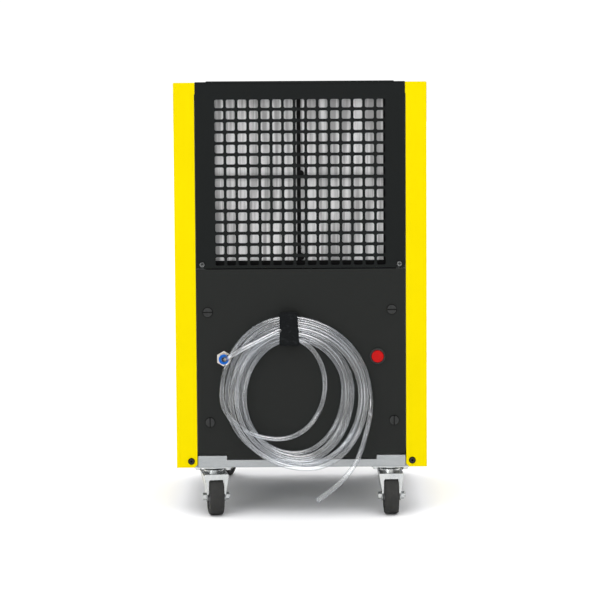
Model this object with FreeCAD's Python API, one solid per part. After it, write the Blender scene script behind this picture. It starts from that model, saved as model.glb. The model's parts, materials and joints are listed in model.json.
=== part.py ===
"""Mobile condensing dehumidifier: sheet-metal cabinet on four swivel casters.

Millimetres. +Z is up, the floor is Z = 0 and the origin is the bottom centre of the cabinet.
The intake side, with the filter cover, hose and pump button, faces -Y. Air leaves at +Y.
Each sub-part is written to parts/NODE.step.
"""
import FreeCAD, Part
import math
import os

from FreeCAD import Vector

# Driving dimensions of the cabinet
HALF_W = 250.5          # outside of the side covers
HALF_D = 235.0          # outside of the flanges and panels
BASE_Z = 97.0           # underside of the chassis tray
COVER_TOP_Z = 865.0     # top of the side covers
SHEET = 1.5             # cover and panel sheet
HEAVY = 2.0             # galvanised sheet
FLANGE_W = 41.5         # width of the side covers' flanges
TAB_W = 1.0             # extra width of a flange at its upper end
FLANGE_TAB_Z = 842.0    # lower end of that wider part
PANEL_HALF_W = 207.5    # black panels between the flanges
DECK_Z = 496.0          # seam between the upper and lower compartments
TOP_Z = 866.0           # black top cover
TOP_PLATE_H = 1.5
TAB_Z = 120.5           # chassis lip at its end tabs
TAB_X = 150.0           # inner end of a tab
TAB_GAP = 1.2           # gap between a tab and the panel beside it
TAB_GAP_ABOVE = 2.5     # gap between a tab and the panel above it
LIP_Z = 112.0           # chassis lip between the tabs
SEAM = 1.0              # half of the gap between neighbouring panels

# Intake grid
GRID_N = 15
GRID_PITCH_X = 22.9
GRID_PITCH_Z = 22.3
GRID_HOLE_X = 17.3
GRID_HOLE_Z = 16.4
GRID_CORNER = 3.0
GRID_Z = 667.0          # centre of the grid

# Filter behind the grid
FILTER_X0 = -177.0
FILTER_X1 = 165.0
FILTER_Z0 = 511.0
FILTER_Z1 = 838.0
FILTER_BAR = 12.0
FILTER_Y = -222.0       # face of the filter frame nearest the grid
FILTER_DEPTH = 12.0

# Things on the lower intake panel
QUARTER_TURNS = {       # x, z, slot upright
    "upper_left": (-185.8, 409.6, False),
    "upper_right": (180.6, 413.4, False),
    "lower_left": (-182.8, 188.4, True),
    "lower_right": (185.0, 191.0, True),
}
TURN_HEAD_R = 10.0
TURN_SHAFT_R = 4.0
BUTTON_X = 152.0
BUTTON_Z = 320.0
FITTING_X = -154.0
FITTING_Z = 317.0
HOSE_R = 5.0
COIL_X = -11.5
COIL_Z = 246.5
COIL_R = 154.5
COIL_HOLE_X = -32.0
COIL_HOLE_Z = 252.0
COIL_HOLE_RX = 80.0
COIL_HOLE_RZ = 94.0
COIL_Y0 = -263.0
COIL_Y1 = -238.0
STRAP_X = -24.0
STRAP_HALF_W = 18.0

# Casters
WHEEL_R = 37.5
WHEEL_HALF_W = 14.3
HUB_R = 27.0
TRAIL = 28.0
CASTER_X = 178.0
CASTER_Y = 197.0
CASTERS = {
    "rear_left": (-CASTER_X, -CASTER_Y, 9.0),
    "rear_right": (CASTER_X, -CASTER_Y, 1.5),
    "front_left": (-CASTER_X, CASTER_Y, 160.0),
    "front_right": (CASTER_X, CASTER_Y, 135.0),
}
LEG_INNER = 16.8        # inside and outside of a fork leg beside the wheel
LEG_OUTER = 19.3
FORK_FRONT = -46.5      # front of the fork, ahead of the king pin
KINGPIN_R = 5.0
AXLE_R = 4.0
RUNNING = 0.05          # radial clearance of a running fit

# Air path
FAN_Z = 668.0
FAN_R = 142.0
FAN_Y = 5.0
COIL_HALF_X = 178.0
COIL_BOTTOM_Z = 524.0
COIL_TOP_Z = 846.0
TUBE_WALL = 0.8

# Outlet side
OUTLET_HALF_X = 165.0
OUTLET_Z0 = 516.0
OUTLET_Z1 = 766.0
CONTROL_HALF_X = 112.0
CONTROL_Z0 = 786.0
CONTROL_Z1 = 850.0
ROCKER_X = 78.0
KNOB_X = -72.0
CONTROL_MID_Z = 0.5 * (CONTROL_Z0 + CONTROL_Z1)
CONTROL_FACE_Y = 239.0
GLAND_X = -150.0
GLAND_Z = 200.0
GLAND_BORE_R = 5.0


# ---------------------------------------------------------------- helpers
def box(x0, x1, y0, y1, z0, z1):
    """A box between two corners."""
    return Part.makeBox(x1 - x0, y1 - y0, z1 - z0, Vector(x0, y0, z0))


def rod(x, y, z, direction, radius, length):
    """A cylinder from a point along a direction."""
    return Part.makeCylinder(radius, length, Vector(x, y, z), Vector(*direction))


def along_y(x, z, y0, y1, radius):
    """A cylinder along +Y."""
    return rod(x, y0, z, (0, 1, 0), radius, y1 - y0)


def ring_y(x, z, y0, y1, outer, inner):
    """A ring whose axis is +Y."""
    return along_y(x, z, y0, y1, outer).cut(along_y(x, z, y0 - 1, y1 + 1, inner))


def fuse(shapes):
    """One solid from touching shapes, with its seams removed."""
    return shapes[0].fuse(shapes[1:]).removeSplitter()


def group(shapes):
    """Separate solids that share one node."""
    return Part.makeCompound(shapes)


def polygon_prism(points, direction):
    """A flat polygon pushed along a vector."""
    wire = Part.makePolygon([Vector(*p) for p in points + points[:1]])
    return Part.Face(wire).extrude(Vector(*direction))


def rounded_slab(x0, x1, z0, z1, radius, y0, y1):
    """A rounded rectangle in XZ, pushed along +Y."""
    slab = box(x0, x1, y0, y1, z0, z1)
    upright = [e for e in slab.Edges if abs(e.tangentAt(e.FirstParameter).y) > 0.9]
    return slab.makeFillet(radius, upright)


def hexagon(x, z, y0, y1, across_flats):
    """A hexagonal prism along +Y."""
    corner = across_flats / math.sqrt(3)
    points = []
    for i in range(6):
        a = math.radians(60 * i + 30)
        points.append((x + corner * math.cos(a), y0, z + corner * math.sin(a)))
    return polygon_prism(points, (0, y1 - y0, 0))


def mirror_x(shape):
    return shape.mirror(Vector(0, 0, 0), Vector(1, 0, 0))


def mirror_y(shape):
    return shape.mirror(Vector(0, 0, 0), Vector(0, 1, 0))


def all_corners(shape):
    """A shape and its copies in the other three corners of the cabinet."""
    pair = [shape, mirror_x(shape)]
    return pair + [mirror_y(s) for s in pair]


def tube(points, radius, label="", bore=0.0):
    """A round tube along straight runs joined by tangent arcs."""
    points = [Vector(*p) for p in points]
    edges = []
    start = points[0]
    radii = []
    for before, corner, after in zip(points, points[1:], points[2:]):
        incoming = (corner - before).normalize()
        outgoing = (after - corner).normalize()
        half_turn = incoming.getAngle(outgoing) / 2
        setback = 0.45 * min(before.distanceToPoint(corner), corner.distanceToPoint(after))
        arc_radius = setback / math.tan(half_turn)
        radii.append(round(arc_radius, 1))
        first = corner - incoming * setback
        last = corner + outgoing * setback
        inward = (outgoing - incoming).normalize()
        reach = arc_radius / math.cos(half_turn)
        middle = corner + inward * (reach - arc_radius)
        edges.append(Part.LineSegment(start, first).toShape())
        edges.append(Part.Arc(first, middle, last).toShape())
        start = last
    edges.append(Part.LineSegment(start, points[-1]).toShape())
    path = Part.Wire(edges)
    heading = points[1] - points[0]
    section = Part.Wire(Part.makeCircle(radius, points[0], heading))
    solid = path.makePipeShell([section], True, False)
    if bore:
        inner = Part.Wire(Part.makeCircle(bore, points[0], heading))
        solid = solid.cut(path.makePipeShell([inner], True, False))
    if label:
        expected = math.pi * (radius ** 2 - bore ** 2) * path.Length
        print(label, "arc radii", radii, "length", round(path.Length, 1),
              "volume / section x length", round(solid.Volume / expected, 4))
    return solid


# ---------------------------------------------------------------- chassis and frame
def chassis_tray():
    """Folded galvanised tray with upturned lips and raised end tabs."""
    floor = box(-246.5, 246.5, -234.5, 234.5, BASE_Z, BASE_Z + HEAVY)
    floor = floor.cut(group(all_corners(box(PANEL_HALF_W, 260, 231, 240, 90, 105))))
    side = box(246.5 - HEAVY, 246.5, -228, 228, BASE_Z + HEAVY, 128)
    lip = box(-PANEL_HALF_W, PANEL_HALF_W, 234.5 - HEAVY, 234.5, BASE_Z + HEAVY, LIP_Z)
    tab = box(TAB_X, PANEL_HALF_W, 234.5 - HEAVY, 234.5, LIP_Z, TAB_Z)
    tray = fuse([floor, side, mirror_x(side), lip, mirror_y(lip)] + all_corners(tab))
    low_front = [e for e in tray.Edges if e.BoundBox.ZLength < 0.01 and e.BoundBox.XLength > 400
                 and abs(e.BoundBox.ZMin - BASE_Z) < 0.01]
    return tray.makeFillet(1.6, low_front)


def inner_frame():
    """Four folded corner uprights, joined by rails under the top."""
    face = box(209.2, 246.0, -233.3, -231.3, 99.2, 862)
    web = box(244.0, 246.0, -231.3, -218, 128.2, 862)
    landing = box(170.0, 246.0, -218, -216, 128.2, 488)
    upper = box(190.5, 246.0, -218, -216, 488, 862)
    drills = [along_y(221.0, 110.0, -240, -225, 3.1), along_y(196.0, 504.5, -240, -205, 2.6)]
    upright = fuse([face, web, landing, upper]).cut(group(drills))
    turn_holes = [along_y(x, z, -225, -210, TURN_SHAFT_R + 1) for x, z, slot in QUARTER_TURNS.values()]
    uprights = [corner.cut(group(turn_holes)) for corner in all_corners(upright)]
    side_rail = box(228.0, 244.0, -215.8, 215.8, 850, 862)
    cross_rail = box(-227.5, 227.5, -206.0, -190.0, 855, 862)
    return group(uprights + [side_rail, mirror_x(side_rail), cross_rail, mirror_y(cross_rail)])


def mid_deck():
    """Deck between the cold upper compartment and the lower one."""
    deck = box(-243.5, 243.5, -212, 212, 488.5, 490.5)
    front = box(-160, 160, 210, 212, 473.5, 488.5)
    side = box(226, 228, -205, 205, 473.5, 488.5)
    drain = rod(150, -150, 480, (0, 0, 1), 14, 20)
    pipes = box(-218, -186, -150, -60, 480, 495)
    return fuse([deck, front, mirror_y(front), side, mirror_x(side)]).cut(group([drain, pipes]))


def side_cover():
    """Left yellow cover: a wall with flanges front, rear and on top."""
    outer = box(-HALF_W, -HALF_W + FLANGE_W, -HALF_D, HALF_D, BASE_Z, COVER_TOP_Z)
    long_edges = [e for e in outer.Edges
                  if abs(e.CenterOfMass.x + HALF_W) < 0.01 and e.BoundBox.ZLength + e.BoundBox.YLength > 100
                  and e.CenterOfMass.z > BASE_Z + 1]
    outer = outer.makeFillet(2.5, long_edges)
    hollow = box(-HALF_W + SHEET, -HALF_W + FLANGE_W + 5, -HALF_D + SHEET, HALF_D - SHEET,
                 BASE_Z - 5, COVER_TOP_Z - SHEET)
    hollow_edges = [e for e in hollow.Edges
                    if abs(e.CenterOfMass.x + HALF_W - SHEET) < 0.01 and e.CenterOfMass.z > BASE_Z]
    hollow = hollow.makeFillet(1.0, hollow_edges)
    inner_x = -HALF_W + FLANGE_W
    corner = polygon_prism([(inner_x + 1, -300, BASE_Z - 1), (inner_x - 6, -300, BASE_Z - 1),
                            (inner_x - 6, -300, BASE_Z), (inner_x, -300, BASE_Z + 6),
                            (inner_x + 1, -300, BASE_Z + 6)], (0, 600, 0))
    top_corner = polygon_prism([(inner_x + 2, -300, COVER_TOP_Z + 1), (inner_x - 1, -300, COVER_TOP_Z + 1),
                                (inner_x + 2, -300, COVER_TOP_Z - 2)], (0, 600, 0))
    screw = along_y(-221.0, 110.0, -300, 300, 3.1)
    tab = box(inner_x - 1, inner_x + TAB_W, -HALF_D, -HALF_D + SHEET, FLANGE_TAB_Z, COVER_TOP_Z)
    cover = outer.cut(group([hollow])).fuse([tab, mirror_y(tab)]).removeSplitter()
    return cover.cut(group([corner, top_corner, screw]))


def side_plate():
    """Thin plate on the outside of the left cover."""
    plate = box(-HALF_W - 1.5, -HALF_W, -75, 75, 360, 594)
    upright = [e for e in plate.Edges if e.BoundBox.XLength > 1]
    return plate.makeFillet(6.0, upright)


def top_cover():
    """Shallow black pan between the side covers."""
    roof = box(-PANEL_HALF_W, PANEL_HALF_W, -HALF_D, HALF_D, TOP_Z - SHEET, TOP_Z)
    ends = [e for e in roof.Edges if abs(e.CenterOfMass.z - TOP_Z) < 0.01 and e.BoundBox.YLength > 100]
    roof = roof.makeFillet(1.2, ends)
    skirt = box(-PANEL_HALF_W, PANEL_HALF_W, -HALF_D, -231.9, 863.0, TOP_Z - SHEET)
    lip = box(-205.0, 205.0, -233.4, -231.9, 857.0, 863.0)
    return fuse([roof, skirt, lip, mirror_y(skirt), mirror_y(lip)])


def top_plate():
    """Raised plate on the top cover, with chamfered ends."""
    plate = box(-186, 186, -229, 229, TOP_Z, TOP_Z + TOP_PLATE_H)
    rim = [e for e in plate.Edges if abs(e.CenterOfMass.z - TOP_Z - TOP_PLATE_H) < 0.01]
    return plate.makeChamfer(1.0, rim)


# ---------------------------------------------------------------- intake side
def folded_panel(z0, z1, y_face, depth):
    """Flat panel with its left and right edges folded inward."""
    face = box(-PANEL_HALF_W, PANEL_HALF_W, y_face, y_face + SHEET, z0, z1)
    fold = box(PANEL_HALF_W - SHEET, PANEL_HALF_W, y_face + SHEET, y_face + depth, z0 + 2, z1 - 2)
    return fuse([face, fold, mirror_x(fold)])


def tab_notches(y0, y1):
    """Room for the tray's end tabs in the lower corners of a panel."""
    notch = box(TAB_X - TAB_GAP, PANEL_HALF_W + 1, y0, y1, LIP_Z - 1, TAB_Z + TAB_GAP_ABOVE)
    return [notch, mirror_x(notch)]


def filter_cover():
    """Upper intake panel with its grid of rounded square holes."""
    panel = folded_panel(DECK_Z + SEAM, 862.0, -HALF_D, 12)
    holes = []
    first_x = -GRID_PITCH_X * (GRID_N - 1) / 2
    first_z = GRID_Z - GRID_PITCH_Z * (GRID_N - 1) / 2
    for row in range(GRID_N):
        for column in range(GRID_N):
            x = first_x + column * GRID_PITCH_X
            z = first_z + row * GRID_PITCH_Z
            holes.append(rounded_slab(x - GRID_HOLE_X / 2, x + GRID_HOLE_X / 2,
                                      z - GRID_HOLE_Z / 2, z + GRID_HOLE_Z / 2,
                                      GRID_CORNER, -HALF_D - 2, -HALF_D + 4))
    holes += [along_y(side * 196.0, 504.5, -240, -230, 2.6) for side in (-1, 1)]
    return panel.cut(group(holes))


def air_filter_frame():
    """Frame of the washable filter, with one upright and one cross bar and two pull knobs."""
    y0 = FILTER_Y
    y1 = FILTER_Y + FILTER_DEPTH
    rim = box(FILTER_X0 - FILTER_BAR, FILTER_X1 + FILTER_BAR, y0, y1,
              FILTER_Z0 - FILTER_BAR, FILTER_Z1 + FILTER_BAR)
    rim = rim.cut(box(FILTER_X0, FILTER_X1, y0 - 1, y1 + 1, FILTER_Z0, FILTER_Z1))
    groove = box(FILTER_X0 - 4, FILTER_X1 + 4, y0 + 5, y0 + 9, FILTER_Z0 - 4, FILTER_Z1 + 4)
    upright = box(-6.6, 1.0, y0, y0 + 5, FILTER_Z0, FILTER_Z1)
    cross = box(FILTER_X0, FILTER_X1, y0 + 1, y0 + 5, 675, 681)
    knobs = [along_y(0.5, z, y0 - 5, y0 + 1, 7) for z in (684, 519)]
    return fuse([rim.cut(groove), upright, cross] + knobs)


def air_filter_mesh():
    """Filter medium, held in the frame's groove."""
    return box(FILTER_X0 - 4, FILTER_X1 + 4, FILTER_Y + 5.5, FILTER_Y + 8.5,
               FILTER_Z0 - 4, FILTER_Z1 + 4)


def rear_service_panel():
    """Lower intake panel, with its holes and the notches for the chassis tabs."""
    panel = folded_panel(LIP_Z + 1, DECK_Z - SEAM, -HALF_D, 14)
    cuts = tab_notches(-HALF_D - 1, -HALF_D + 20)
    for x, z, slot in QUARTER_TURNS.values():
        cuts.append(along_y(x, z, -240, -230, TURN_SHAFT_R + RUNNING))
    cuts.append(along_y(BUTTON_X, BUTTON_Z, -240, -230, 11.2))
    cuts.append(along_y(FITTING_X, FITTING_Z, -240, -230, 11.2))
    return panel.cut(group(cuts))


def quarter_turn(name):
    """Slotted quarter-turn fastener: head, shaft and cross cam."""
    x, z, slot_upright = QUARTER_TURNS[name]
    head = along_y(x, z, -HALF_D - 2.6, -HALF_D - 0.3, TURN_HEAD_R)
    rim = [e for e in head.Edges if abs(e.CenterOfMass.y + HALF_D + 2.6) < 0.01]
    head = head.makeChamfer(0.7, rim)
    slot = box(x - 9.0, x + 9.0, -HALF_D - 3, -HALF_D - 1.4, z - 1.1, z + 1.1)
    shaft = along_y(x, z, -HALF_D - 0.3, -208, TURN_SHAFT_R)
    cam = box(x - 8, x + 8, -214.6, -211.6, z - 2, z + 2)
    fastener = fuse([head.cut(slot), shaft, cam])
    if slot_upright:
        fastener.rotate(Vector(x, 0, z), Vector(0, 1, 0), 90)
    return fastener


def black_screws():
    """Black screws: button heads in the side covers and cross heads in the filter cover."""
    shank = along_y(221.0, 110.0, -HALF_D, -226, 3.0)
    head = along_y(221.0, 110.0, -HALF_D - 3.2, -HALF_D, 6.8)
    head = head.makeFillet(2.2, [e for e in head.Edges if abs(e.CenterOfMass.y + HALF_D + 3.2) < 0.01])
    socket = hexagon(221.0, 110.0, -HALF_D - 4, -HALF_D - 1.2, 4.0)
    button = fuse([head, shank]).cut(socket)
    shank = along_y(196.0, 504.5, -HALF_D, -212, 2.5)
    head = along_y(196.0, 504.5, -HALF_D - 2.4, -HALF_D, 6.0)
    head = head.makeFillet(1.6, [e for e in head.Edges if abs(e.CenterOfMass.y + HALF_D + 2.4) < 0.01])
    cross = [box(193.0, 199.0, -238, -HALF_D - 0.8, 503.9, 505.1),
             box(195.4, 196.6, -238, -HALF_D - 0.8, 501.5, 507.5)]
    phillips = fuse([head, shank]).cut(group([fuse(cross)]))
    return group(all_corners(button) + [phillips, mirror_x(phillips)])


def hose_fitting():
    """Nickel bulkhead push-in fitting with its lock nuts."""
    barrel = ring_y(FITTING_X, FITTING_Z, -250.5, -205, 11.0, 8.3)
    stop = ring_y(FITTING_X, FITTING_Z, -242, -205, 9.0, 3.5)
    outer_nut = hexagon(FITTING_X, FITTING_Z, -241.5, -HALF_D, 27)
    inner_nut = hexagon(FITTING_X, FITTING_Z, -HALF_D + SHEET, -227, 27)
    core = along_y(FITTING_X, FITTING_Z, -260, -200, 10.5)
    return fuse([barrel, stop, outer_nut.cut(core), inner_nut.cut(core)])


def fitting_release_ring():
    """Blue ring that frees the hose when it is pressed in."""
    flange = ring_y(FITTING_X, FITTING_Z, -254.5, -252.4, 10.0, 5.3)
    flange = flange.makeFillet(0.8, [e for e in flange.Edges
                                     if abs(e.CenterOfMass.y + 254.5) < 0.01 and e.Length > 50])
    sleeve = ring_y(FITTING_X, FITTING_Z, -252.4, -244.5, 8.0, 5.3)
    return fuse([flange, sleeve])


def pump_button_bezel():
    """Black bezel, barrel, lock nut and contact block of the pump's push button."""
    collar = ring_y(BUTTON_X, BUTTON_Z, -240.5, -HALF_D, 15.5, 12.5)
    rim = [e for e in collar.Edges if abs(e.CenterOfMass.y + 240.5) < 0.01]
    collar = collar.makeChamfer(0.8, rim)
    barrel = along_y(BUTTON_X, BUTTON_Z, -HALF_D, -200, 11.0)
    floor = along_y(BUTTON_X, BUTTON_Z, -HALF_D - 0.2, -HALF_D, 15.5)
    nut = ring_y(BUTTON_X, BUTTON_Z, -HALF_D + SHEET, -226, 15.0, 10.5)
    block = box(BUTTON_X - 13, BUTTON_X + 13, -200, -172, BUTTON_Z - 15, BUTTON_Z + 15)
    stem_hole = along_y(BUTTON_X, BUTTON_Z, -HALF_D - 1, -212, 4.1)
    seat = fuse([barrel, floor, nut, block]).cut(stem_hole)
    return fuse([collar, seat])


def pump_button_cap():
    """Red lens of the push button, on its stem."""
    lens = along_y(BUTTON_X, BUTTON_Z, -243.5, -HALF_D - 3.0, 12.0)
    lens = lens.makeFillet(1.2, [e for e in lens.Edges if abs(e.CenterOfMass.y + 243.5) < 0.01])
    stem = along_y(BUTTON_X, BUTTON_Z, -HALF_D - 3.0, -218, 3.8)
    return fuse([lens, stem])


def hose_strap():
    """Hook-and-loop strap, riveted to the panel and closed round the coil."""
    # Drawn with its depth along X, then turned and mirrored so that depth lies along Y.
    outer = rounded_slab(-268.0, -HALF_D, 345.0, 409.5, 5.0, STRAP_X - STRAP_HALF_W, STRAP_X + STRAP_HALF_W)
    inner = rounded_slab(-265.5, -237.4, 348.5, 406.0, 3.0, STRAP_X - 30, STRAP_X + 30)
    band = outer.cut(inner)
    band.rotate(Vector(0, 0, 0), Vector(0, 0, 1), 90)
    return mirror_x(band)


LEAD_ROUTE = [
    (FITTING_X, -249.0, FITTING_Z),
    (FITTING_X, -265.0, FITTING_Z),
    (-147.5, -280.0, 322.0),
    (-135.0, -288.5, 330.5),
    (-118.0, -290.5, 340.5),
    (-96.0, -285.5, 350.5),
    (-70.5, -275.0, 362.0),
    (-44.0, -264.0, 373.0),
    (-18.0, -257.5, 380.0),
]
TAIL_ROUTE = [
    (137.0, -259.0, 214.0),
    (134.0, -260.5, 190.0),
    (126.5, -262.0, 163.0),
    (118.0, -263.0, 133.0),
    (104.5, -263.5, 104.0),
    (85.0, -263.0, 78.0),
    (60.0, -262.0, 55.0),
    (31.0, -260.5, 34.0),
]


def drain_hose_lead():
    return tube(LEAD_ROUTE, HOSE_R, "lead")


def drain_hose_tail():
    return tube(TAIL_ROUTE, HOSE_R, "tail")


def drain_hose_coil():
    """Outer shape of the coiled part of the hose."""
    disc = along_y(COIL_X, COIL_Z, COIL_Y0, COIL_Y1, COIL_R)
    ellipse = Part.Ellipse(Vector(COIL_HOLE_X, COIL_Y0 - 1, COIL_HOLE_Z + COIL_HOLE_RZ),
                           Vector(COIL_HOLE_X + COIL_HOLE_RX, COIL_Y0 - 1, COIL_HOLE_Z),
                           Vector(COIL_HOLE_X, COIL_Y0 - 1, COIL_HOLE_Z))
    hole = Part.Face(Part.Wire(ellipse.toShape())).extrude(Vector(0, COIL_Y1 - COIL_Y0 + 2, 0))
    beside_fitting = along_y(FITTING_X, FITTING_Z, COIL_Y0 - 1, COIL_Y1 + 1, 17.5)
    return disc.cut(group([hole])).cut(beside_fitting)


# ---------------------------------------------------------------- cold section and fan
def finned_block(y0, y1, z0, z1, count):
    """Upright fins of a heat exchanger."""
    step = 2 * COIL_HALF_X / count
    fins = []
    for i in range(count):
        x = -COIL_HALF_X + (i + 0.5) * step
        fins.append(box(x - 0.5, x + 0.5, y0, y1, z0, z1))
    return group(fins)


def serpentine(y, z0, z1, rows, radius):
    """Copper tube that runs to and fro across a heat exchanger, with round bends outside the fins."""
    pitch = (z1 - z0) / (rows - 1)
    bend = pitch / 2
    reach = COIL_HALF_X + 3
    edges = []
    for i in range(rows):
        z = z0 + i * pitch
        x_from = reach if i % 2 == 0 else -reach
        edges.append(Part.LineSegment(Vector(x_from, y, z), Vector(-x_from, y, z)).toShape())
        if i < rows - 1:
            tip = -x_from - bend if x_from > 0 else -x_from + bend
            edges.append(Part.Arc(Vector(-x_from, y, z), Vector(tip, y, z + bend),
                                  Vector(-x_from, y, z + pitch)).toShape())
    path = Part.Wire(edges)
    outside = Part.Wire(Part.makeCircle(radius, Vector(reach, y, z0), Vector(1, 0, 0)))
    inside = Part.Wire(Part.makeCircle(radius - TUBE_WALL, Vector(reach, y, z0), Vector(1, 0, 0)))
    return path.makePipeShell([outside], True, False).cut(path.makePipeShell([inside], True, False))


def evaporator_fins():
    return finned_block(-190, -126, COIL_BOTTOM_Z, COIL_TOP_Z, 30)


def evaporator_tubes():
    return group([serpentine(y, COIL_BOTTOM_Z + 20, COIL_TOP_Z - 20, 10, 4.5) for y in (-174, -142)])


def condenser_fins():
    return finned_block(-106, -50, COIL_BOTTOM_Z, COIL_TOP_Z, 36)


def condenser_tubes():
    return group([serpentine(y, COIL_BOTTOM_Z + 20, COIL_TOP_Z - 20, 10, 4.0) for y in (-92, -64)])


def drip_tray():
    """Pan under the evaporator, with its outlet spout."""
    pan = box(-192, 192, -200, -118, 500, 518)
    pan = pan.cut(box(-190, 190, -198, -120, 502, 520))
    spout = rod(150, -150, 476, (0, 0, 1), 9, 26)
    bore = rod(150, -150, 470, (0, 0, 1), 6.5, 40)
    return fuse([pan, spout]).cut(bore)


def fan_shroud():
    """Bulkhead with the fan's inlet ring."""
    plate = box(-198, 198, -22, -20, 496, 848)
    ring = ring_y(0, FAN_Z, -20, 38, FAN_R + 8, FAN_R + 6)
    hole = along_y(0, FAN_Z, -30, -10, FAN_R + 6)
    return fuse([plate.cut(hole), ring])


def fan_blades():
    """Axial fan: hub and seven twisted blades."""
    hub = along_y(0, FAN_Z, FAN_Y - 10, FAN_Y + 22, 34)
    hub = hub.makeFillet(6, [e for e in hub.Edges if abs(e.CenterOfMass.y - FAN_Y + 10) < 0.01])
    blades = []
    count = 7
    for i in range(count):
        sections = []
        for radius, chord, pitch in ((30, 44, 42), (85, 62, 30), (FAN_R, 72, 22)):
            a = math.radians(pitch)
            dx = chord / 2 * math.cos(a)
            dy = chord / 2 * math.sin(a)
            z = FAN_Z + radius
            corners = [(-dx, FAN_Y + 6 - dy, z), (dx, FAN_Y + 6 + dy, z),
                       (dx, FAN_Y + 8.5 + dy, z), (-dx, FAN_Y + 8.5 - dy, z)]
            sections.append(Part.makePolygon([Vector(*c) for c in corners + corners[:1]]))
        blade = Part.makeLoft(sections, True, True)
        blade.rotate(Vector(0, 0, FAN_Z), Vector(0, 1, 0), 360 / count * i)
        blades.append(blade)
    bore = along_y(0, FAN_Z, FAN_Y - 20, FAN_Y + 40, 5 + RUNNING)
    limit = along_y(0, FAN_Z, FAN_Y - 40, FAN_Y + 60, FAN_R + 2)
    return fuse([hub] + blades).cut(bore).common(limit)


def fan_motor():
    """Fan motor with its shaft and a four-armed carrier."""
    can = along_y(0, FAN_Z, 58, 128, 44)
    can = can.makeFillet(5, [e for e in can.Edges if abs(e.CenterOfMass.y - 128) < 0.01])
    boss = along_y(0, FAN_Z, 50, 58, 16)
    shaft = along_y(0, FAN_Z, FAN_Y - 12, 50, 5)
    arms = []
    for i in range(4):
        arm = box(-7, 7, 60, 63, FAN_Z + 40, FAN_Z + FAN_R + 12)
        foot = box(-7, 7, 38.2, 63, FAN_Z + FAN_R + 5.9, FAN_Z + FAN_R + 8.1)
        arm = fuse([arm, foot])
        arm.rotate(Vector(0, 0, FAN_Z), Vector(0, 1, 0), 45 + 90 * i)
        arms.append(arm)
    return fuse([can, boss, shaft] + arms)


# ---------------------------------------------------------------- lower compartment
def condensate_tank():
    """Open tank that gathers the condensate for the pump."""
    tank = rounded_slab(60, 200, 100, 250, 8, -195, -60)
    hollow = rounded_slab(62.5, 197.5, 102.5, 247.5, 6, -192.5, -62.5)
    inlet = rod(150, -150, 240, (0, 0, 1), 7.5, 20)
    pump_hole = rod(100, -125, 240, (0, 0, 1), 20.5, 20)
    return tank.cut(hollow).cut(group([inlet, pump_hole]))


def condensate_pump():
    """Pump body on the tank's lid, with its intake in the water."""
    body = rod(100, -125, 250, (0, 0, 1), 30, 62)
    body = body.makeFillet(5, [e for e in body.Edges if abs(e.CenterOfMass.z - 312) < 0.01])
    intake = rod(100, -125, 112, (0, 0, 1), 20, 138)
    outlet = rod(72, -125, 285, (-1, 0, 0), 4.5, 22)
    return fuse([body, intake, outlet])


def internal_hoses():
    """Hose from the tray to the tank, and hose from the pump to the bulkhead fitting."""
    drain = rod(150, -150, 236, (0, 0, 1), 6.4, 262)
    drain = drain.cut(rod(150, -150, 230, (0, 0, 1), 4.6, 280))
    delivery = tube([(52, -125, 285), (14, -125, 285), (-32, -128, 290), (-84, -136, 300),
                     (-127, -154, 311), (-151.5, -180, 317), (FITTING_X, -203, FITTING_Z)], 6.4, "delivery", 4.6)
    return group([drain, delivery])


def compressor_shell():
    """Rotary compressor's welded shell with its suction accumulator and base plate."""
    x = -110
    y = 90
    wall = 8
    shell = rod(x, y, 128, (0, 0, 1), 62, 236)
    shell = shell.makeFillet(22, [e for e in shell.Edges if e.Closed and e.Length > 100
                                  and abs(e.CenterOfMass.z - 246) > 10])
    terminal = rod(x, y, 360, (0, 0, 1), 24, 16)
    can = rod(x + 94, y, 180, (0, 0, 1), 25, 150)
    can = can.makeFillet(12, [e for e in can.Edges if e.Closed and abs(e.CenterOfMass.z - 255) > 10])
    clamp = box(x + 55, x + 75, y - 8, y + 8, 240, 260)
    base = box(x - 82, x + 82, y - 82, y + 82, 124, 128)
    inside = rod(x, y, 128 + wall, (0, 0, 1), 62 - wall, 236 - 2 * wall)
    inside = inside.makeFillet(16, [e for e in inside.Edges if e.Closed])
    return fuse([shell, terminal, can, clamp, base]).cut(inside)


def compressor_feet():
    """Rubber feet between the compressor's base plate and the tray."""
    feet = []
    for dx in (-70, 70):
        for dy in (-70, 70):
            feet.append(rod(-110 + dx, 90 + dy, 99, (0, 0, 1), 13, 25))
    return group(feet)


def refrigerant_lines():
    """Copper discharge, liquid and suction lines."""
    discharge = tube([(-110, 90, 376), (-110, 90, 404), (-130, 76, 430), (-168, 40, 450),
                      (-198, -10, 462), (-206, -60, 478), (-203, -80, 506), (-196, -90, 530)], 4.0)
    suction = tube([(-16, 90, 330), (-16, 90, 362), (-36, 70, 396), (-84, 30, 424),
                    (-140, -20, 440), (-180, -70, 454), (-200, -110, 478), (-204, -130, 510)], 5.0)
    return group([discharge, suction])


def filter_drier():
    """Filter drier with the start of the capillary tube."""
    can = rod(40, 110, 300, (0, 0, 1), 14, 90)
    can = can.makeFillet(6, [e for e in can.Edges if e.Closed])
    tails = [rod(40, 110, 270, (0, 0, 1), 3, 35), rod(40, 110, 385, (0, 0, 1), 3, 40)]
    return fuse([can] + tails)


def electrical_box():
    """Closed box for the controls, beside the compressor."""
    shell = rounded_slab(70, 232, 130, 440, 6, 60, 180)
    hollow = box(72, 230, 62, 178, 132, 438)
    return shell.cut(hollow)


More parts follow.
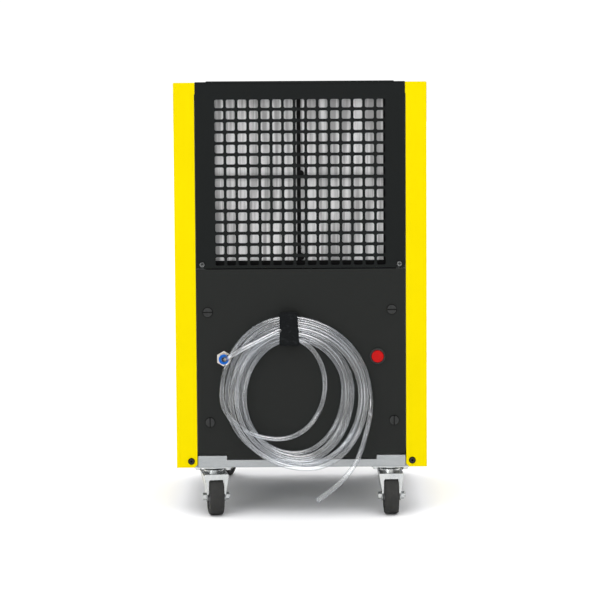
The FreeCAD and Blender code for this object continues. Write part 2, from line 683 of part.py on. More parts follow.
# ---------------------------------------------------------------- outlet side
def front_panel():
    """Outlet-side panel with openings for the outlet grille and the controls."""
    panel = mirror_y(folded_panel(LIP_Z + 1, 862.0, -HALF_D, 14))
    outlet = box(-OUTLET_HALF_X, OUTLET_HALF_X, 225, 240, OUTLET_Z0, OUTLET_Z1)
    control = box(-CONTROL_HALF_X, CONTROL_HALF_X, 225, 240, CONTROL_Z0, CONTROL_Z1)
    gland = along_y(GLAND_X, GLAND_Z, 230, 240, 10.2)
    return panel.cut(group(tab_notches(HALF_D - 20, HALF_D + 1) + [outlet, control, gland]))


def outlet_grille():
    """Outlet frame with fixed sloping louvres and a centre bar."""
    half = OUTLET_HALF_X - 0.5
    z0 = OUTLET_Z0 + 0.5
    z1 = OUTLET_Z1 - 0.5
    rim = box(-half, half, 222, 237, z0, z1).cut(box(-half + 10, half - 10, 220, 240, z0 + 10, z1 - 10))
    bezel = box(-half - 6, half + 6, HALF_D, HALF_D + 2.5, z0 - 6, z1 + 6)
    bezel = bezel.cut(box(-half + 10, half - 10, 230, 240, z0 + 10, z1 - 10))
    louvres = []
    count = 10
    pitch = (z1 - z0 - 20) / count
    for i in range(count):
        z = z0 + 10 + (i + 0.5) * pitch
        louvres.append(polygon_prism([(-half + 9, 223, z + 5), (-half + 9, 236, z - 6),
                                      (-half + 9, 236, z - 3.8), (-half + 9, 223, z + 7.2)],
                                     (2 * half - 18, 0, 0)))
    bar = box(-2, 2, 222.5, 227, z0 + 9, z1 - 9)
    return fuse([rim, bezel] + louvres + [bar])


def control_panel():
    """Moulded control plate with a rocker opening, a knob hole and an hour counter window."""
    plate = rounded_slab(-CONTROL_HALF_X - 5, CONTROL_HALF_X + 5, CONTROL_Z0 - 5, CONTROL_Z1 + 5, 6,
                         HALF_D, CONTROL_FACE_Y)
    rim = [e for e in plate.Edges if abs(e.CenterOfMass.y - CONTROL_FACE_Y) < 0.01]
    plate = plate.makeChamfer(1.0, rim)
    back = box(-CONTROL_HALF_X + 0.5, CONTROL_HALF_X - 0.5, 222, HALF_D, CONTROL_Z0 + 0.5, CONTROL_Z1 - 0.5)
    body = fuse([plate, back])
    rocker = box(ROCKER_X - 7.5, ROCKER_X + 7.5, 225, 250, CONTROL_MID_Z - 14, CONTROL_MID_Z + 14)
    shaft = along_y(KNOB_X, CONTROL_MID_Z, 215, 250, 3 + RUNNING)
    window = box(-24, 24, CONTROL_FACE_Y - 1.2, 250, CONTROL_MID_Z - 10, CONTROL_MID_Z + 10)
    return body.cut(group([rocker, shaft, window]))


def power_switch_rocker():
    """Rocker of the mains switch, at rest pressed in at its upper end."""
    pivot_y = 234.5
    outline = [(-6.0, -8.5), (-6.0, 8.5), (6.4, 12.0), (4.6, 0.0), (6.4, -12.0)]
    points = [(ROCKER_X - 7.0, pivot_y + u, CONTROL_MID_Z + v) for u, v in outline]
    rocker = polygon_prism(points, (14.0, 0, 0))
    rocker.rotate(Vector(ROCKER_X, pivot_y, CONTROL_MID_Z), Vector(1, 0, 0), 6)
    return rocker


def humidistat_knob():
    """Setting knob with its pointer rib and shaft."""
    skirt = along_y(KNOB_X, CONTROL_MID_Z, CONTROL_FACE_Y + 0.4, CONTROL_FACE_Y + 4, 18)
    grip = along_y(KNOB_X, CONTROL_MID_Z, CONTROL_FACE_Y + 4, CONTROL_FACE_Y + 17, 13)
    grip = grip.makeFillet(1.5, [e for e in grip.Edges
                                 if abs(e.CenterOfMass.y - CONTROL_FACE_Y - 17) < 0.01])
    flutes = []
    for i in range(12):
        a = math.radians(30 * i + 15)
        flutes.append(along_y(KNOB_X + 14.2 * math.cos(a), CONTROL_MID_Z + 14.2 * math.sin(a),
                              CONTROL_FACE_Y + 4.5, CONTROL_FACE_Y + 20, 2.0))
    pointer = box(KNOB_X - 0.8, KNOB_X + 0.8, CONTROL_FACE_Y + 3, CONTROL_FACE_Y + 17.6,
                  CONTROL_MID_Z + 2, CONTROL_MID_Z + 15.5)
    shaft = along_y(KNOB_X, CONTROL_MID_Z, 218, CONTROL_FACE_Y + 0.4, 3)
    return fuse([skirt, grip.cut(group(flutes)), pointer, shaft])


def cable_gland():
    """Mains cable gland: body, lock nut and dome nut round an open bore."""
    x = GLAND_X
    z = GLAND_Z
    thread = along_y(x, z, 220, 243, 10.0)
    flange = hexagon(x, z, HALF_D, 241, 24)
    dome = hexagon(x, z, 243, 253, 24)
    cap = Part.makeCone(12.0, 8.0, 9.0, Vector(x, 253, z), Vector(0, 1, 0))
    nut = hexagon(x, z, 227.5, HALF_D - SHEET, 26)
    bore = along_y(x, z, 210, 270, GLAND_BORE_R)
    neck = along_y(x, z, 241, 243, 10.0)
    return fuse([thread, flange, neck, dome, cap, nut]).cut(bore)


# ---------------------------------------------------------------- casters
def placed(shape, name):
    """Turn a caster's piece to its heading and put it at its corner."""
    x, y, heading = CASTERS[name]
    shape = shape.copy()
    shape.rotate(Vector(0, 0, 0), Vector(0, 0, 1), heading)
    shape.translate(Vector(x, y, 0))
    return shape


def caster_plates():
    """Bolted top plates with their upper races, king pins and bolts."""
    pieces = []
    for x, y, heading in CASTERS.values():
        plate = box(x - 38.5, x + 38.5, y - 33.5, y + 33.5, 94.5, BASE_Z)
        plate = plate.makeFillet(6, [e for e in plate.Edges if e.BoundBox.ZLength > 2])
        race = rod(x, y, 90.5, (0, 0, 1), 25.5, 4.0)
        race = race.makeFillet(2.5, [e for e in race.Edges if abs(e.CenterOfMass.z - 90.5) < 0.01])
        pin = rod(x, y, 79.0, (0, 0, 1), KINGPIN_R, 12)
        head = rod(x, y, 77.8, (0, 0, 1), 8.5, 3.5)
        head = head.makeFillet(1.5, [e for e in head.Edges if abs(e.CenterOfMass.z - 77.8) < 0.01])
        bolts = [rod(x + dx, y + dy, 90.6, (0, 0, 1), 5.6, 3.9) for dx in (-29.5, 29.5) for dy in (-25, 25)]
        pieces.append(fuse([plate, race, pin, head] + bolts))
    return group(pieces)


def caster_fork(name):
    """Pressed fork with its lower race, and the axle bolt and nut that it holds."""
    section = [(LEG_INNER, 22), (LEG_OUTER, 22), (LEG_OUTER, 50), (25.0, 82.0), (23.4, 84.0),
               (20.0, 84.0), (22.3, 81.5), (LEG_INNER, 50)]
    half = polygon_prism([(x, -60, z) for x, z in section], (0, 100, 0))
    outline = [(23.6, 84.0), (23.6, 72.0), (-19.0, 31.0), (-33.0, 28.0), (-38.4, 36.0),
               (FORK_FRONT, 44.0), (FORK_FRONT, 84.0)]
    side = polygon_prism([(-40, y, z) for y, z in outline], (80, 0, 0))
    eye = rod(-40, -TRAIL, WHEEL_R, (1, 0, 0), 10.5, 80)
    profile = fuse([side, eye])
    legs = [half.common(profile), mirror_x(half).common(profile)]
    race = rod(0, 0, 84.0, (0, 0, 1), 20.0, 5.0)
    race = race.makeFillet(1.5, [e for e in race.Edges if abs(e.CenterOfMass.z - 89.0) < 0.01])
    yoke = box(-23.4, 23.4, FORK_FRONT, 23.6, 81.5, 84.0)
    front = [(LEG_OUTER, 44.0), (LEG_OUTER, 50.0), (25.0, 82.0), (23.4, 84.0)]
    front += [(-x, z) for x, z in reversed(front)]
    bridge = polygon_prism([(x, FORK_FRONT, z) for x, z in front], (0, 2.2, 0))
    bridge = bridge.cut(rounded_slab(-15.2, 15.2, 30.0, 73.0, 4.0, -60, 0))
    hole = rod(0, 0, 70, (0, 0, 1), KINGPIN_R + RUNNING, 30)
    axle_hole = rod(-40, -TRAIL, WHEEL_R, (1, 0, 0), AXLE_R + RUNNING, 80)
    fork = fuse(legs + [race, yoke, bridge]).cut(group([hole, axle_hole]))
    bolt = rod(-LEG_OUTER, -TRAIL, WHEEL_R, (1, 0, 0), AXLE_R, 2 * LEG_OUTER + 9.2)
    head = hexagon(0, 0, 0, 6.5, 13.0)
    head.rotate(Vector(0, 0, 0), Vector(0, 0, 1), 90)
    head.translate(Vector(-LEG_OUTER, -TRAIL, WHEEL_R))
    nut = hexagon(0, 0, 0, 7.0, 13.0)
    nut.rotate(Vector(0, 0, 0), Vector(0, 0, 1), -90)
    nut.translate(Vector(LEG_OUTER, -TRAIL, WHEEL_R))
    nut = nut.cut(rod(15, -TRAIL, WHEEL_R, (1, 0, 0), AXLE_R, 20))
    return placed(group([fork, fuse([bolt, head]), nut]), name)


def revolved(profile):
    """Turn a profile of (along the axle, radius) points about the wheel's axle."""
    points = [Vector(x, -TRAIL, WHEEL_R + r) for x, r in profile]
    face = Part.Face(Part.makePolygon(points + points[:1]))
    return face.revolve(Vector(0, -TRAIL, WHEEL_R), Vector(1, 0, 0), 360)


def caster_hub(name):
    """Grey wheel hub with a thin web and a plain bore."""
    bore = AXLE_R + RUNNING
    end = LEG_INNER - 0.5
    hub = revolved([(-end, bore), (end, bore), (end, 9.0), (5.0, 10.5), (5.0, 22.0), (12.0, 23.5),
                    (12.0, HUB_R), (-12.0, HUB_R), (-12.0, 23.5), (-5.0, 22.0), (-5.0, 10.5), (-end, 9.0)])
    return placed(hub, name)


def caster_tyre(name):
    """Rubber tyre with a slightly crowned tread."""
    edge_r = WHEEL_R - 0.9
    blank = revolved([(-13.4, HUB_R), (13.4, HUB_R), (WHEEL_HALF_W, 30.5), (WHEEL_HALF_W, edge_r),
                      (0.0, WHEEL_R), (-WHEEL_HALF_W, edge_r), (-WHEEL_HALF_W, 30.5)])
    shoulder = [e for e in blank.Edges if abs(abs(e.CenterOfMass.x) - WHEEL_HALF_W) < 0.01
                and abs(e.Length - 2 * math.pi * edge_r) < 1.0]
    return placed(blank.makeFillet(4.0, shoulder), name)


# ---------------------------------------------------------------- export
def build():
    left = side_cover()
    nodes = {
        "chassis_tray": chassis_tray(),
        "inner_frame": inner_frame(),
        "mid_deck": mid_deck(),
        "left_side_cover": left,
        "right_side_cover": mirror_x(left),
        "side_plate": side_plate(),
        "top_cover": top_cover(),
        "top_plate": top_plate(),
        "filter_cover": filter_cover(),
        "air_filter_frame": air_filter_frame(),
        "air_filter_mesh": air_filter_mesh(),
        "rear_service_panel": rear_service_panel(),
        "black_screws": black_screws(),
        "hose_fitting": hose_fitting(),
        "fitting_release_ring": fitting_release_ring(),
        "pump_button_bezel": pump_button_bezel(),
        "pump_button_cap": pump_button_cap(),
        "hose_strap": hose_strap(),
        "drain_hose_lead": drain_hose_lead(),
        "drain_hose_coil": drain_hose_coil(),
        "drain_hose_tail": drain_hose_tail(),
        "evaporator_fins": evaporator_fins(),
        "evaporator_tubes": evaporator_tubes(),
        "condenser_fins": condenser_fins(),
        "condenser_tubes": condenser_tubes(),
        "drip_tray": drip_tray(),
        "fan_shroud": fan_shroud(),
        "fan_blades": fan_blades(),
        "fan_motor": fan_motor(),
        "condensate_tank": condensate_tank(),
        "condensate_pump": condensate_pump(),
        "internal_hoses": internal_hoses(),
        "compressor_shell": compressor_shell(),
        "compressor_feet": compressor_feet(),
        "refrigerant_lines": refrigerant_lines(),
        "filter_drier": filter_drier(),
        "electrical_box": electrical_box(),
        "front_panel": front_panel(),
        "outlet_grille": outlet_grille(),
        "control_panel": control_panel(),
        "power_switch_rocker": power_switch_rocker(),
        "humidistat_knob": humidistat_knob(),
        "cable_gland": cable_gland(),
        "caster_plates": caster_plates(),
    }
    for name in QUARTER_TURNS:
        nodes["quarter_turn_" + name] = quarter_turn(name)
    for name in CASTERS:
        nodes["caster_fork_" + name] = caster_fork(name)
        nodes["caster_hub_" + name] = caster_hub(name)
        nodes["caster_tyre_" + name] = caster_tyre(name)
    return nodes


os.makedirs("parts", exist_ok=True)
for node, shape in build().items():
    if not shape.isValid():
        print("not valid:", node)
    print(node, "solids", len(shape.Solids), "cm3", round(shape.Volume / 1000, 1))
    shape.exportStep("parts/" + node + ".step")
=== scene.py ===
"""Looks of the mobile dehumidifier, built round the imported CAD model.

Metres. +Z is up, the floor is Z = 0 and the intake side faces -Y, as in the CAD.
"""
import json
import math

import bmesh
import bpy
import numpy as np
from mathutils import Matrix, Vector, noise


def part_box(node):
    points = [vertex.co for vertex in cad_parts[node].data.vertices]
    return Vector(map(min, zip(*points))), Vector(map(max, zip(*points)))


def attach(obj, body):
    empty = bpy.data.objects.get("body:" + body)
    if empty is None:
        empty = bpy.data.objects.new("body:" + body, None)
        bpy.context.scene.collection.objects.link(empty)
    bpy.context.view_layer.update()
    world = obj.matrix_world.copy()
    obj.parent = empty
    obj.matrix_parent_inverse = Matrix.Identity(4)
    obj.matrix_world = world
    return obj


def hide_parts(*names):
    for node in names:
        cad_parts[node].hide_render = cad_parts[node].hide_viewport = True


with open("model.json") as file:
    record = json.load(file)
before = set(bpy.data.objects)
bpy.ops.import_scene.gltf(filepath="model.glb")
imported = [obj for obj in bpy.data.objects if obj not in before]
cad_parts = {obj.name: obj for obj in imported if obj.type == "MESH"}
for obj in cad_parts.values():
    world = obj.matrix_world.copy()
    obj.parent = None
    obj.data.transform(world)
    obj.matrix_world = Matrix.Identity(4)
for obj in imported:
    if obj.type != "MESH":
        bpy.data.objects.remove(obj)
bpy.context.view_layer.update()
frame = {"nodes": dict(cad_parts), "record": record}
nodes = frame["nodes"]

CABINET = "cabinet"
PANEL_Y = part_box("rear_service_panel")[0].y      # outer face of the intake panels


# ---------------------------------------------------------------- camera
CAMERA_PLACE = (-0.0015, -4.4935, 0.8404)
CAMERA_TILT = 0.0814
CAMERA_ROLL = -0.006


def make_camera():
    """Long lens, near the height of the cabinet's top and turned a little down."""
    data = bpy.data.cameras.new("camera")
    data.sensor_width = 36.0
    data.lens = 129.0
    data.shift_y = -0.05
    camera = bpy.data.objects.new("camera", data)
    bpy.context.scene.collection.objects.link(camera)
    forward = Vector((0.0, math.cos(CAMERA_TILT), -math.sin(CAMERA_TILT)))
    right = Vector((1.0, 0.0, 0.0))
    up = right.cross(forward)
    rolled_right = right * math.cos(CAMERA_ROLL) + up * math.sin(CAMERA_ROLL)
    rolled_up = up * math.cos(CAMERA_ROLL) - right * math.sin(CAMERA_ROLL)
    axes = Matrix((rolled_right, rolled_up, -forward)).transposed()
    camera.matrix_world = Matrix.Translation(CAMERA_PLACE) @ axes.to_4x4()
    bpy.context.scene.camera = camera


make_camera()


# ---------------------------------------------------------------- drain hose
HOSE_DIAMETER = 0.010
HOSE_BORE_RADIUS = 0.0035
HOSE_EXIT = (-0.154, -0.249, 0.317)
LEAD_ROUTE = [
    (-0.154, -0.249, 0.317),
    (-0.154, -0.265, 0.317),
    (-0.1475, -0.280, 0.322),
    (-0.135, -0.2885, 0.3305),
    (-0.118, -0.2905, 0.3405),
    (-0.096, -0.2855, 0.3505),
    (-0.0705, -0.275, 0.362),
    (-0.044, -0.264, 0.373),
]
TAIL_ROUTE = [
    (0.137, -0.259, 0.214),
    (0.134, -0.2605, 0.190),
    (0.1265, -0.262, 0.163),
    (0.118, -0.263, 0.133),
    (0.1045, -0.2635, 0.104),
    (0.085, -0.263, 0.078),
    (0.060, -0.262, 0.055),
    (0.031, -0.2605, 0.034),
]
FRONT_Y = -0.258
BACK_Y = -0.247
# Each turn: height under the strap and y there, furthest right, lowest, furthest left and y there
TURNS = [
    (0.3800, FRONT_Y, 0.1200, 0.1070, -0.1500, BACK_Y),
    (0.3940, FRONT_Y, 0.1310, 0.0990, -0.1410, FRONT_Y),
    (0.3850, BACK_Y, 0.1240, 0.1035, -0.1330, BACK_Y),
    (0.3715, BACK_Y, 0.1030, 0.1120, -0.1300, FRONT_Y),
    (0.3695, FRONT_Y, 0.0910, 0.1180, -0.1195, FRONT_Y),
    (0.3605, BACK_Y, 0.0825, 0.1250, -0.1210, BACK_Y),
    (0.3590, FRONT_Y, 0.0495, 0.1530, -0.1590, BACK_Y),
    (0.3980, BACK_Y, 0.1380, 0.0, 0.0, BACK_Y),
]
POINTS_PER_QUARTER = 5
STRAP_X = -0.024
LEFT_Z = 0.241
HELD_AT_START = 5          # control points of the lead and the tail that settling doesn't move
HELD_AT_END = 4
COIL_FRONT_LIMIT = -0.2700
COIL_BACK_GAP = 0.0053     # from the panel to the centreline of a turn that lies on it
FITTING_ROOM = 0.0175      # the turns stay this far from the middle of the hose fitting


def quarter_turn(start, end, level_start):
    """Elliptical quarter turn that leaves start level (or upright) and reaches end the other way."""
    points = []
    for i in range(POINTS_PER_QUARTER):
        share = i / POINTS_PER_QUARTER
        rise = math.sin(share * math.pi / 2)
        fall = math.cos(share * math.pi / 2)
        y = start[1] + (end[1] - start[1]) * share
        if level_start:
            x = start[0] + (end[0] - start[0]) * rise
            z = end[2] + (start[2] - end[2]) * fall
        else:
            x = end[0] + (start[0] - end[0]) * fall
            z = start[2] + (end[2] - start[2]) * rise
        points.append((x, y, z))
    return points


def coil_points():
    """The hose's turns, from the strap round to where the tail hangs free."""
    points = []
    for index, (top_z, top_y, right_x, bottom_z, left_x, left_y) in enumerate(TURNS):
        top = (STRAP_X, top_y, top_z)
        right = (right_x, top_y, 0.265 - 0.27 * (right_x - 0.050))
        points += quarter_turn(top, right, True)
        if index == len(TURNS) - 1:
            return points + [right]
        bottom = (-0.045 + 1.09 * (0.153 - bottom_z), 0.5 * (top_y + left_y), bottom_z)
        left = (left_x, left_y, LEFT_Z)
        points += quarter_turn(right, bottom, False)
        points += quarter_turn(bottom, left, True)
        next_top = (STRAP_X, TURNS[index + 1][1], TURNS[index + 1][0])
        points += quarter_turn(left, next_top, False)


def settle(points, rounds=320):
    """Push the turns apart until they lie beside and on each other, a diameter apart."""
    rest = np.array(points)
    count = len(rest)
    # two samples a control point: on the curve beside it and between it and the next
    sampler = np.zeros((2 * count - 1, count))
    for i in range(count):
        sampler[2 * i, max(i - 1, 0)] += 0.125
        sampler[2 * i, i] += 0.75
        sampler[2 * i, min(i + 1, count - 1)] += 0.125
        if i + 1 < count:
            sampler[2 * i + 1, [i, i + 1]] = 0.5
    weight = sampler.sum(0)[:, None]
    held = np.ones((count, 1))
    held[:HELD_AT_START] = 0.0
    held[-HELD_AT_END:] = 0.0
    points = rest.copy()
    wanted = 1.02 * HOSE_DIAMETER
    order = np.arange(len(sampler))
    far = np.abs(order[:, None] - order[None, :-1]) > 6
    for _ in range(rounds):
        samples = sampler @ points
        starts = samples[:-1]
        spans = samples[1:] - starts
        gap = samples[:, None, :] - starts[None, :, :]
        along = (gap * spans[None]).sum(2) / (spans ** 2).sum(1)[None]
        along = along.clip(0.0, 1.0)
        apart = gap - along[..., None] * spans[None]
        distance = np.sqrt((apart ** 2).sum(2)) + 1e-9
        close = far & (distance < wanted)
        push = np.where(close, (wanted - distance) / distance, 0.0)[..., None] * apart * 0.35
        force = push.sum(1)
        force[:-1] -= (push * (1 - along[..., None])).sum(0)
        force[1:] -= (push * along[..., None]).sum(0)
        points += held * (sampler.T @ force) / weight
        shift = points - rest
        shift[1:-1] = 0.7 * shift[1:-1] + 0.15 * (shift[:-2] + shift[2:])
        points = rest + held * shift
        inside = slice(len(LEAD_ROUTE), count - len(TAIL_ROUTE))
        points[inside, 1] = points[inside, 1].clip(COIL_FRONT_LIMIT, PANEL_Y - COIL_BACK_GAP)
        off = points[inside][:, [0, 2]] - np.array([[HOSE_EXIT[0], HOSE_EXIT[2]]])
        reach = np.sqrt((off ** 2).sum(1, keepdims=True))
        clear = off / np.maximum(reach, 1e-6) * FITTING_ROOM
        moved = np.where(reach < FITTING_ROOM, clear - off, 0.0)
        points[inside, 0] += moved[:, 0]
        points[inside, 2] += moved[:, 1]
    return points


def nurbs_curve(name, points, radius):
    """A round tube along one smooth open spline."""
    curve = bpy.data.curves.new(name, "CURVE")
    curve.dimensions = "3D"
    spline = curve.splines.new("NURBS")
    spline.points.add(len(points) - 1)
    for control, point in zip(spline.points, points):
        control.co = (*point, 1.0)
        # Blender adds each point's radius to the curve's box, so the points hold the tube's radius
        control.radius = radius
    spline.order_u = 3
    spline.use_endpoint_u = True
    spline.resolution_u = 12
    curve.bevel_depth = 1.0
    curve.bevel_resolution = 8
    curve.use_fill_caps = True
    piece = bpy.data.objects.new(name, curve)
    bpy.context.scene.collection.objects.link(piece)
    return piece


def make_hose_end():
    """The wall of the hose at its bare cut end, round the open bore."""
    tip = Vector(TAIL_ROUTE[-1])
    out = (tip - Vector(TAIL_ROUTE[-2])).normalized()
    side = out.orthogonal().normalized()
    other = out.cross(side)
    outer = HOSE_DIAMETER / 2
    inner = HOSE_BORE_RADIUS
    profile = [(outer, -0.0008), (outer, 0.0010), (outer - 0.0003, 0.0013), (inner + 0.0003, 0.0013),
               (inner, 0.0010), (inner, 0.0001)]
    count = 32
    mesh = bmesh.new()
    rings = []
    for i in range(count):
        turn = 2 * math.pi * i / count
        spoke = side * math.cos(turn) + other * math.sin(turn)
        rings.append([mesh.verts.new(tip + spoke * radius + out * along) for radius, along in profile])
    for ring, following in zip(rings, rings[1:] + rings[:1]):
        for k in range(len(profile) - 1):
            mesh.faces.new((ring[k], ring[k + 1], following[k + 1], following[k]))
    return mesh_piece("drain_hose_end", mesh)


def mesh_piece(name, mesh):
    """A smooth-shaded object from a bmesh."""
    bmesh.ops.recalc_face_normals(mesh, faces=mesh.faces[:])
    for face in mesh.faces:
        face.smooth = True
    data = bpy.data.meshes.new(name)
    mesh.to_mesh(data)
    mesh.free()
    piece = bpy.data.objects.new(name, data)
    bpy.context.scene.collection.objects.link(piece)
    return piece


def make_hose():
    end = make_hose_end()
    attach(end, CABINET)
    points = settle(LEAD_ROUTE + coil_points() + TAIL_ROUTE)
    hose = nurbs_curve("drain_hose", points, HOSE_DIAMETER / 2)
    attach(hose, CABINET)
    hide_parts("drain_hose_lead", "drain_hose_coil", "drain_hose_tail")
    return [hose, end]


hose_pieces = make_hose()


# ---------------------------------------------------------------- strap and filter mesh
STRAP_LEFT = -0.0423
STRAP_RIGHT_TOP = -0.0077
STRAP_RIGHT_BOTTOM = -0.0037
STRAP_Z = (0.3445, 0.4100)
STRAP_Y = (-0.2685, PANEL_Y - 0.0001)
STRAP_THICK = 0.0022
STRAP_CORNER = 0.0055
WIRE_PITCH = 0.00175


def strap_path(spacing):
    """Points round the band's middle line, each (y, z) with its outward direction."""
    half = STRAP_THICK / 2
    y0 = STRAP_Y[0] + half
    y1 = STRAP_Y[1] - half
    z0 = STRAP_Z[0] + half
    z1 = STRAP_Z[1] - half
    r = STRAP_CORNER
    path = []
    corners = [(y0 + r, z1 - r, 90.0), (y0 + r, z0 + r, 180.0),
               (y1 - r, z0 + r, 270.0), (y1 - r, z1 - r, 0.0)]
    for index, (y, z, start) in enumerate(corners):
        steps = max(3, int(r * math.pi / 2 / spacing))
        for i in range(steps + 1):
            turn = math.radians(start + 90.0 * i / steps)
            path.append((y + r * math.cos(turn), z + r * math.sin(turn), math.cos(turn), math.sin(turn)))
        following = corners[(index + 1) % 4]
        turn = math.radians(start + 90.0)
        ends = [(y + r * math.cos(turn), z + r * math.sin(turn)),
                (following[0] + r * math.cos(turn), following[1] + r * math.sin(turn))]
        run = math.dist(*ends)
        steps = int(run / spacing)
        for i in range(1, steps):
            share = i / steps
            path.append((ends[0][0] + (ends[1][0] - ends[0][0]) * share,
                         ends[0][1] + (ends[1][1] - ends[0][1]) * share, math.cos(turn), math.sin(turn)))
    return path


def make_strap():
    """Hook-and-loop band closed round the turns: wider at its lower end, with soft edges and a fuzzy pile."""
    spacing = 0.0008
    across = 44
    half = STRAP_THICK / 2
    section = [(-1 + 2 * i / across, half) for i in range(across + 1)]
    section += [(1.02, half * 0.4), (1.02, -half * 0.4)]
    section += [(1 - 2 * i / 12, -half) for i in range(13)]
    section += [(-1.02, -half * 0.4), (-1.02, half * 0.4)]
    mesh = bmesh.new()
    rings = []
    for y, z, out_y, out_z in strap_path(spacing):
        share = (z - STRAP_Z[0]) / (STRAP_Z[1] - STRAP_Z[0])
        right = STRAP_RIGHT_BOTTOM + (STRAP_RIGHT_TOP - STRAP_RIGHT_BOTTOM) * share
        middle = 0.5 * (STRAP_LEFT + right)
        half_w = 0.5 * (right - STRAP_LEFT)
        ring = []
        for u, depth in section:
            spot = Vector((middle + u * half_w, y, z))
            pile = 0.00028 * noise.noise(spot * 900.0) + 0.0004 * noise.noise(spot * 110.0)
            if out_y > 0.5:
                pile = 0.0
            sag = 0.0006 * math.sin(u * 2.2 + 0.6) * share
            reach = depth + (pile if depth > 0 else 0.0)
            corner = (spot.x + pile * 0.8 * u, y + out_y * reach, z + out_z * (reach + sag))
            ring.append(mesh.verts.new(corner))
        rings.append(ring)
    for ring, following in zip(rings, rings[1:] + rings[:1]):
        for k in range(len(section)):
            m = (k + 1) % len(section)
            mesh.faces.new((ring[k], ring[m], following[m], following[k]))
    strap = mesh_piece("strap", mesh)
    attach(strap, CABINET)
    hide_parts("hose_strap")
    return strap


def make_filter_mesh():
    """The filter's woven sheet: wires 1.75 mm apart that pass over and under each other."""
    low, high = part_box("air_filter_mesh")
    columns = int((high.x - low.x) / WIRE_PITCH)
    rows = int((high.z - low.z) / WIRE_PITCH)
    mesh = bmesh.new()
    grid = []
    for row in range(rows + 1):
        z = low.z + (high.z - low.z) * row / rows
        line = []
        for column in range(columns + 1):
            x = low.x + (high.x - low.x) * column / columns
            over = 0.0004 if (row + column) % 2 == 0 else 0.0
            wave = 0.0005 * noise.noise(Vector((x * 30.0, 0.0, z * 12.0)))
            line.append(mesh.verts.new((x, low.y + 0.0009 - over + wave, z)))
        grid.append(line)
    for lower, upper in zip(grid, grid[1:]):
        for k in range(columns):
            mesh.faces.new((lower[k], lower[k + 1], upper[k + 1], upper[k]))
    rim = [e for e in mesh.edges if e.is_boundary]
    skirt = bmesh.ops.extrude_edge_only(mesh, edges=rim)["geom"]
    for vert in [g for g in skirt if isinstance(g, bmesh.types.BMVert)]:
        vert.co.y = high.y
    back_edges = [g for g in skirt if isinstance(g, bmesh.types.BMEdge) and g.is_boundary]
    bmesh.ops.contextual_create(mesh, geom=back_edges)
    sheet = mesh_piece("filter_sheet", mesh)
    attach(sheet, CABINET)
    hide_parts("air_filter_mesh")
    return sheet


strap = make_strap()
filter_sheet = make_filter_mesh()


# ---------------------------------------------------------------- node materials
def add_node(tree, kind, inputs=(), **settings):
    """A shader node with its settings, and its inputs as plain values or other nodes' sockets."""
    made = tree.nodes.new("ShaderNode" + kind)
    for key, value in settings.items():
        setattr(made, key, value)
    for key, value in dict(inputs).items():
        if isinstance(value, bpy.types.NodeSocket):
            tree.links.new(value, made.inputs[key])
        else:
            made.inputs[key].default_value = value
    return made


def new_material(name):
    material = bpy.data.materials.new(name)
    material.use_nodes = True
    material.node_tree.nodes.clear()
    return material, material.node_tree


def finish_material(tree, shader):
    output = add_node(tree, "OutputMaterial")
    tree.links.new(shader, output.inputs["Surface"])


def position(tree, scale=(1.0, 1.0, 1.0)):
    """The piece's own coordinates in metres, stretched by scale."""
    coordinates = add_node(tree, "TexCoord").outputs["Object"]
    return add_node(tree, "Mapping", {"Vector": coordinates, "Scale": scale}).outputs["Vector"]


def grain(tree, per_metre, detail=3.0, scale=(1.0, 1.0, 1.0), roughness=0.5):
    """Noise with that many cells per metre, 0 to 1."""
    inputs = {"Vector": position(tree, scale), "Scale": per_metre, "Detail": detail, "Roughness": roughness}
    return add_node(tree, "TexNoise", inputs).outputs["Fac"]


def remap(tree, value, low, high, to_low, to_high, kind="LINEAR"):
    inputs = {"Value": value, "From Min": low, "From Max": high, "To Min": to_low, "To Max": to_high}
    return add_node(tree, "MapRange", inputs, interpolation_type=kind).outputs["Result"]


def arithmetic(tree, operation, first, second=0.0):
    made = add_node(tree, "Math", operation=operation)
    for socket, value in zip(made.inputs, (first, second)):
        if isinstance(value, bpy.types.NodeSocket):
            tree.links.new(value, socket)
        else:
            socket.default_value = value
    return made.outputs[0]


def blend_colours(tree, share, first, second):
    made = add_node(tree, "Mix", data_type="RGBA")
    for socket, value in zip((made.inputs[0], made.inputs[6], made.inputs[7]), (share, first, second)):
        if isinstance(value, bpy.types.NodeSocket):
            tree.links.new(value, socket)
        else:
            socket.default_value = (*value, 1.0) if isinstance(value, tuple) else value
    return made.outputs[2]


def bump(tree, height, distance, strength=1.0, normal=None):
    inputs = {"Height": height, "Distance": distance, "Strength": strength}
    if normal is not None:
        inputs["Normal"] = normal
    return add_node(tree, "Bump", inputs).outputs["Normal"]


def rounded_normal(tree, radius):
    """Edges catch light as if rounded to that radius."""
    return add_node(tree, "Bevel", {"Radius": radius}, samples=4).outputs["Normal"]


def painted_edge_highlight_mask(tree, radius, full=0.72):
    """1 on sharp edges and corners, 0 on flat stretches, for painting a highlight on edges; full is the
    cosine of the turn that gives 1.
    """
    rounded = rounded_normal(tree, radius)
    flat = add_node(tree, "NewGeometry").outputs["Normal"]
    turned = add_node(tree, "VectorMath", {0: rounded, 1: flat}, operation="DOT_PRODUCT").outputs["Value"]
    return remap(tree, turned, 0.985, full, 0.0, 1.0)


def principled(tree, **inputs):
    names = {}
    for key, value in inputs.items():
        names[key.replace("_", " ").title().replace("Ior", "IOR")] = value
    return add_node(tree, "BsdfPrincipled", names).outputs["BSDF"]


